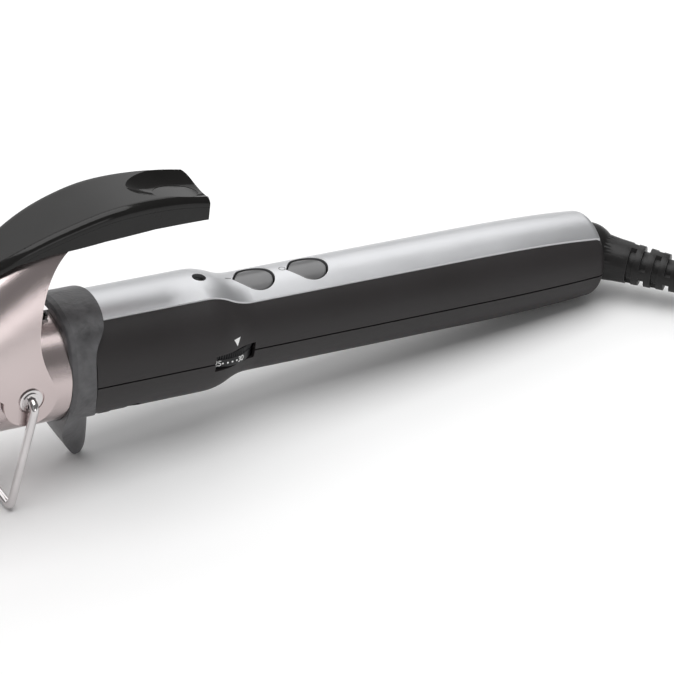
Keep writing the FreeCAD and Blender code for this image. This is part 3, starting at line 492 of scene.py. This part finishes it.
def dial_labels(finish):
    """Numbers every five steps with dots between them, all round the thumbwheel."""
    x, y = DIAL_AT
    at_pointer = math.radians(-80.0)
    made = []
    for step in range(31):
        angle = at_pointer + math.radians((step - SETTING) * STEP_DEG)
        turn = Matrix.Translation((x, y, 0)) @ Matrix.Rotation(angle + math.pi / 2, 4, "Z")
        face = turn @ Matrix.Translation(
            (0, -DIAL_RADIUS - 0.02, -0.85)
        ) @ Matrix.Rotation(math.pi / 2, 4, "X")
        bpy.ops.object.select_all(action="DESELECT")
        if step % 5 == 0:
            bpy.ops.object.text_add()
            label = bpy.context.object
            label.data.body = str(step)
            label.data.size = 2.5
            label.data.space_character = 0.85
            label.data.extrude = 0.02
            label.data.align_x = "CENTER"
            label.data.align_y = "CENTER"
            bpy.ops.object.convert(target="MESH")
            label = bpy.context.object
        else:
            bpy.ops.mesh.primitive_cylinder_add(vertices=14, radius=0.28, depth=0.05)
            label = bpy.context.object
        label.data.transform(face)
        made.append(label)
    labels = join(made)
    labels.name = "dial_numbers"
    settle(labels, finish, "dial")


def node_mesh(name):
    piece = nodes[name]
    if piece.type == "MESH":
        return piece
    return [child for child in piece.children_recursive if child.type == "MESH"][0]


def surface_height(name, x, y):
    """Height of a node's top over a point of the iron's middle plane, in iron millimetres."""
    down = (IRON.to_3x3() @ Vector((0, 0, -1))).normalized()
    start = on_iron(x, y, 60)
    mesh = node_mesh(name)
    hit, where, _, _ = mesh.ray_cast(mesh.matrix_world.inverted() @ start, down)
    return (IRON.inverted() @ (mesh.matrix_world @ where)).z * 1000 if hit else None


def side_depth(name, x, z):
    """How far out the near side of a node is at a point of the side view."""
    mesh = node_mesh(name)
    hit, where, _, _ = mesh.ray_cast(on_iron(x, -60, z), Vector((0, 1, 0)))
    return (IRON.inverted() @ where).y * 1000 if hit else None


def make_marks(grey, white):
    """The on and off marks by the buttons and the pointer over the dial."""
    bpy.ops.object.select_all(action="DESELECT")
    height = surface_height("handle_top_strip", *ON_MARK)
    bpy.ops.mesh.primitive_cube_add(size=1, location=(*ON_MARK, 0))
    dash = active_mesh("on_mark")
    for vertex in dash.data.vertices:
        vertex.co = Vector((vertex.co.x * 1.9, vertex.co.y * 0.34, vertex.co.z * 0.06))
        x, y = ON_MARK[0] + vertex.co.x, ON_MARK[1] + vertex.co.y
        vertex.co.z += (surface_height("handle_top_strip", x, y) or height) + 0.01
    bevel(dash, 0.02)
    settle(dash, grey, "handle")
    bpy.ops.mesh.primitive_torus_add(
        major_radius=0.9, minor_radius=0.15, major_segments=36, minor_segments=8, location=(*OFF_MARK, 0)
    )
    ring = active_mesh("off_mark")
    for vertex in ring.data.vertices:
        x, y = OFF_MARK[0] + vertex.co.x, OFF_MARK[1] + vertex.co.y
        vertex.co.z = vertex.co.z * 0.15 + surface_height("handle_top_strip", x, y) + 0.01
    settle(ring, grey, "handle")
    bpy.ops.mesh.primitive_circle_add(vertices=3, radius=1, fill_type="NGON")
    pointer = active_mesh("dial_pointer")
    for vertex, (x, z) in zip(pointer.data.vertices, POINTER_CORNERS):
        vertex.co = Vector((x, side_depth("handle_upper_case", x, z) - 0.05, z))
    modifier = pointer.modifiers.new("paint_depth", "SOLIDIFY")
    modifier.thickness = 0.06
    modifier.offset = 0
    bpy.context.view_layer.objects.active = pointer
    bpy.ops.object.modifier_apply(modifier=modifier.name)
    settle(pointer, white, "handle")


def soft_copy(name, new_name, finish, body, width):
    """A piece in a node's own shape with its edges eased. With no body given, it is left attached to no
    body.
    """
    source = node_mesh(name)
    piece = bpy.data.objects.new(new_name, source.data.copy())
    piece.data.transform(source.matrix_world)
    bpy.context.scene.collection.objects.link(piece)
    bpy.ops.object.select_all(action="DESELECT")
    piece.select_set(True)
    bpy.context.view_layer.objects.active = piece
    bpy.ops.object.mode_set(mode="EDIT")
    bpy.ops.mesh.select_all(action="SELECT")
    bpy.ops.mesh.remove_doubles(threshold=0.00002)
    bpy.ops.mesh.dissolve_limited(angle_limit=math.radians(1.5))
    bpy.ops.object.mode_set(mode="OBJECT")
    bevel(piece, width, 2, 50)
    smooth(piece, 40)
    piece.data.materials.clear()
    piece.data.materials.append(finish)
    if body:
        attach(piece, body)
    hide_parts(name)
    return piece


def make_spring(finish):
    """The clamp's leaf spring, which sits on the barrel at its foot; it is baked in place and does not
    follow the lever.
    """
    spring = soft_copy("clamp_spring", "flexing_leaf_spring", finish, None, 0.00008)
    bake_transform(spring)


def cube(name, x, y, z):
    """A block between pairs of limits, in metres."""
    bpy.ops.object.select_all(action="DESELECT")
    bpy.ops.mesh.primitive_cube_add(size=1)
    block = active_mesh(name)
    for vertex in block.data.vertices:
        vertex.co = Vector(
            [low + (high - low) * (c + 0.5) for (low, high), c in zip((x, y, z), vertex.co)]
        )
    return block


def make_plug(finish):
    """Moulded plug: rounded grip with finger ribs, a face flange and a ribbed relief."""
    low, high = [Vector(c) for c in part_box("plug_body")]
    start = low.x + 0.0125
    centre_y = (low.y + high.y) / 2
    centre_z = (low.z + high.z) / 2
    grip = cube(
        "plug_grip", (start, high.x - 0.004), (low.y + 0.0012, high.y - 0.0012),
        (low.z + 0.0006, high.z - 0.0006),
    )
    bevel(grip, 0.0028, 5)
    flange = cube("plug_flange", (high.x - 0.0052, high.x), (low.y, high.y), (low.z, high.z))
    bevel(flange, 0.0011, 3)
    made = [grip, flange]
    for count in range(4):
        x = start + 0.004 + count * 0.0026
        for side in (-1, 1):
            z = centre_z + side * (high.z - low.z - 0.0012) / 2
            rib = cube(
                "plug_rib", (x, x + 0.0012), (low.y + 0.0045, high.y - 0.0045),
                (z - 0.0005, z + 0.0005),
            )
            bevel(rib, 0.0004, 2)
            made.append(rib)
    bpy.ops.object.select_all(action="DESELECT")
    bpy.ops.mesh.primitive_cone_add(
        vertices=40, radius1=0.0042, radius2=0.0052, depth=0.0145,
        location=(low.x + 0.0072, centre_y, centre_z), rotation=(0, math.pi / 2, 0),
    )
    relief = active_mesh("plug_relief")
    made.append(relief)
    for count in range(4):
        bpy.ops.mesh.primitive_torus_add(
            major_radius=0.0045 + count * 0.0002, minor_radius=0.0006, major_segments=40, minor_segments=10,
            location=(
                low.x + 0.002 + count * 0.0026, centre_y, centre_z,
            ), rotation=(0, math.pi / 2, 0),
        )
        made.append(bpy.context.object)
    plug = join(made)
    plug.name = "moulded_plug"
    plug.data.transform(plug.matrix_basis)
    plug.matrix_basis = Matrix.Identity(4)
    smooth(plug, 40)
    plug.data.materials.clear()
    plug.data.materials.append(finish)
    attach(plug, "handle")
    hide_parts("plug_body")
    return plug


def make_tie(finish):
    """Woven strap closed round the hank's waist, with its loose end lying over."""
    low, high = [Vector(c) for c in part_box("hank_tie")]
    loop = cube(
        "hank_strap", (low.x, high.x), (low.y + 0.0007, high.y - 0.0007),
        (low.z + 0.0001, high.z - 0.0008),
    )
    bpy.ops.object.mode_set(mode="EDIT")
    shape = bmesh.from_edit_mesh(loop.data)
    for face in shape.faces:
        face.select = abs(face.normal.x) > 0.9
    bmesh.update_edit_mesh(loop.data)
    bpy.ops.mesh.delete(type="ONLY_FACE")
    shape = bmesh.from_edit_mesh(loop.data)
    for edge in shape.edges:
        way = edge.verts[0].co - edge.verts[1].co
        edge.select = abs(way.normalized().x) > 0.9
    bmesh.update_edit_mesh(loop.data)
    bpy.ops.mesh.bevel(offset=0.004, segments=6, affect="EDGES")
    bpy.ops.mesh.select_all(action="SELECT")
    bpy.ops.mesh.normals_make_consistent(inside=False)
    bpy.ops.object.mode_set(mode="OBJECT")
    modifier = loop.modifiers.new("strap_thickness", "SOLIDIFY")
    modifier.thickness = 0.0009
    modifier.offset = -1
    bpy.ops.object.modifier_apply(modifier=modifier.name)
    middle_y = (low.y + high.y) / 2
    end = cube(
        "strap_end", (low.x + 0.0006, high.x - 0.0006), (middle_y - 0.011, middle_y + 0.006),
        (high.z - 0.0009, high.z),
    )
    bevel(end, 0.0003, 2)
    bevel(loop, 0.00025, 2, 60)
    strap = join([loop, end])
    strap.name = "woven_tie"
    smooth(strap, 40)
    strap.data.materials.clear()
    strap.data.materials.append(finish)
    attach(strap, "handle")
    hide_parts("hank_tie")
    return strap


# ------------------------------------------------------------------ cord

CORD_D = 0.0062
RUN_Y = -0.0489
HANK_MIDDLE_Y = -0.0157
HANK_XA, HANK_XB = 0.2687, 0.3523
RINGS = (0.0332, 0.0269, 0.0207)
LAYERS = (0.0032, 0.0095)
WAIST = 0.0118
PLUG_AT = (0.403, -0.041, 0.0062)
BALL_AT = (176.5, 0, 0.7)
BOOT_SIDE_DEG = 47.0
BOOT_LENGTH = 0.044


def boot_end():
    """Where the cord leaves the strain relief, and which way it points."""
    turn = math.radians(BOOT_SIDE_DEG)
    way = Matrix.Rotation(TILT, 3, "Y") @ Vector((math.cos(turn), -math.sin(turn), 0))
    return on_iron(*BALL_AT) + way * BOOT_LENGTH, way


def squeeze(x):
    """How far the tie draws the hank's sides in at a place along it."""
    middle, half = (HANK_XA + HANK_XB) / 2, (HANK_XB - HANK_XA) / 2
    share = min(1.0, abs(x - middle) / half)
    return WAIST * 0.5 * (1 + math.cos(math.pi * share))


def run_points(side, start, end, z0, z1, forward):
    """A side of the hank, waisted, going from one ring's width to another's."""
    points = []
    for share in (0.12, 0.31, 0.5, 0.69, 0.88):
        x = HANK_XA + (HANK_XB - HANK_XA) * (share if forward else 1 - share)
        ease = share * share * (3 - 2 * share)
        wide = start + (end - start) * ease
        points.append((x, HANK_MIDDLE_Y + side * (wide - squeeze(x)), z0 + (z1 - z0) * ease))
    return points


def end_points(x, radius, z, direction):
    """A half turn round one end of the hank, as corners of the smooth line."""
    points = []
    grow = 1.012
    for step in range(7):
        angle = math.pi * step / 6
        points.append((
            x + direction * radius * grow * math.sin(angle),
            HANK_MIDDLE_Y - direction * radius * grow * math.cos(angle),
            z,
        ))
    return points


def cord_route():
    leave, way = boot_end()
    low = LAYERS[0]
    route = [
        leave,
        leave + way * 0.010,
        leave + Vector((0.0154, -0.0126, low + 0.0024 - leave.z)),
        leave + Vector((0.0252, -0.0154, low + 0.0009 - leave.z)),
        Vector((leave.x + 0.0366, RUN_Y + 0.0003, low)),
        Vector((leave.x + 0.050, RUN_Y, low)),
    ]
    outer, middle, inner = RINGS
    upper = LAYERS[1]
    plan = [
        (outer, outer, middle, low, low, low),
        (middle, middle, inner, low, low, low),
        (inner, inner, inner, low, upper, upper),
        (inner, inner, middle, upper, upper, upper),
        (middle, middle, outer, upper, upper, upper),
    ]
    for near, far_start, far_end, z_near, z_after, z_back in plan:
        route += run_points(-1, near, near, z_near, z_near, True)
        route += end_points(HANK_XB, near, z_near, 1)
        route += run_points(1, far_start, far_end, z_near, z_after, False)
        route += end_points(HANK_XA, far_end, z_back, -1)
    route += run_points(-1, outer, outer, upper, upper, True)
    plug_x, plug_y, plug_z = PLUG_AT
    route += [
        (plug_x - 0.0470, RUN_Y, upper),
        (plug_x - 0.0415, RUN_Y + 0.0001, upper),
        (plug_x - 0.0270, RUN_Y + 0.0039, upper - 0.0007),
        (plug_x - 0.0120, plug_y, plug_z),
        (plug_x, plug_y, plug_z),
    ]
    return [Vector(p) for p in route]


def make_cord(finish):
    route = cord_route()
    data = bpy.data.curves.new("mains_cord", "CURVE")
    data.dimensions = "3D"
    data.bevel_depth = CORD_D / 2
    data.bevel_resolution = 5
    data.resolution_u = 5
    data.use_fill_caps = True
    line = data.splines.new("NURBS")
    line.points.add(len(route) - 1)
    for point, place in zip(line.points, route):
        point.co = (*place, 1)
    line.order_u = 3
    line.use_endpoint_u = True
    line.resolution_u = 5
    cord = bpy.data.objects.new("mains_cord", data)
    data.materials.append(finish)
    bpy.context.scene.collection.objects.link(cord)
    return cord, route


# ------------------------------------------------------------------ the object

place_camera()
light_studio()
lay_floor()
finishes = make_finishes()
paint_frame(finishes)
make_dial(finishes["dial"])
dial_labels(finishes["print"])
make_marks(finishes["grey_print"], finishes["print"])
boot = soft_copy("cord_boot", "slotted_boot", finishes["rubber"], "swivel", 0.0002)
make_spring(finishes["steel"])
plug = make_plug(finishes["rubber"])
tie = make_tie(finishes["strap"])
cord, route = make_cord(finishes["rubber"])
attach(cord, "handle")
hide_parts("cord_tube", "cord_hank")
